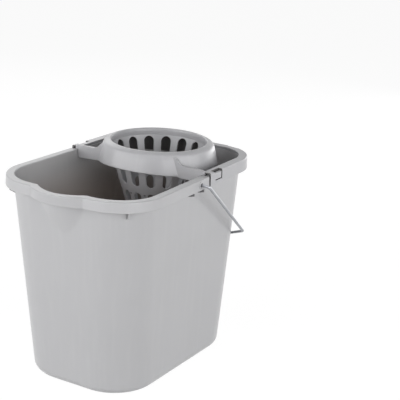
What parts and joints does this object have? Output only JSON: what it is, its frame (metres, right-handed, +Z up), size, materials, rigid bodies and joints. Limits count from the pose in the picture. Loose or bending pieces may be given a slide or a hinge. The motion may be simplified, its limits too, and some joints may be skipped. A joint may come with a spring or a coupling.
{
  "type": "mop bucket with wringer",
  "caption": "Rectangular moulded mop bucket with a pouring spout, a lift-off conical wringer capping the rear of its rim, and a steel wire bail with a grip.",
  "frame": {"origin": "centre of the bucket's base, on the floor", "axes": "+Z up, +X from the spout toward the wringer, +Y across the bucket along the bail's pivots"},
  "size_m": [0.3528, 0.2542, 0.3014],
  "materials": {
    "bucket_polypropylene": "injection-moulded light grey polypropylene, low sheen",
    "wringer_polypropylene": "injection-moulded light grey polypropylene, low sheen",
    "bail_steel": "drawn and zinc-plated steel wire, bright",
    "grip_polypropylene": "injection-moulded light grey polypropylene, satin"
  },
  "bodies": {
    "bucket": {"bucket": "bucket_polypropylene"},
    "wringer": {"wringer": "wringer_polypropylene"},
    "bail": {"bail_wire": "bail_steel"},
    "grip": {"bail_grip": "grip_polypropylene"}
  },
  "joints": [
    {"name": "wringer_lift", "type": "slide", "parent": "bucket", "child": "wringer", "axis": [0, 0, 1], "range_m": [0, 0.15]},
    {"name": "bail_swing", "type": "hinge", "parent": "bucket", "child": "bail", "pos_m": [-0.0124, 0, 0.2728], "axis": [0, -1, 0], "range_deg": [0, 262]},
    {"name": "grip_spin", "type": "hinge", "parent": "bail", "child": "grip", "pos_m": [0.15346, 0, 0.14691], "axis": [0, 1, 0], "continuous": true}
  ]
}
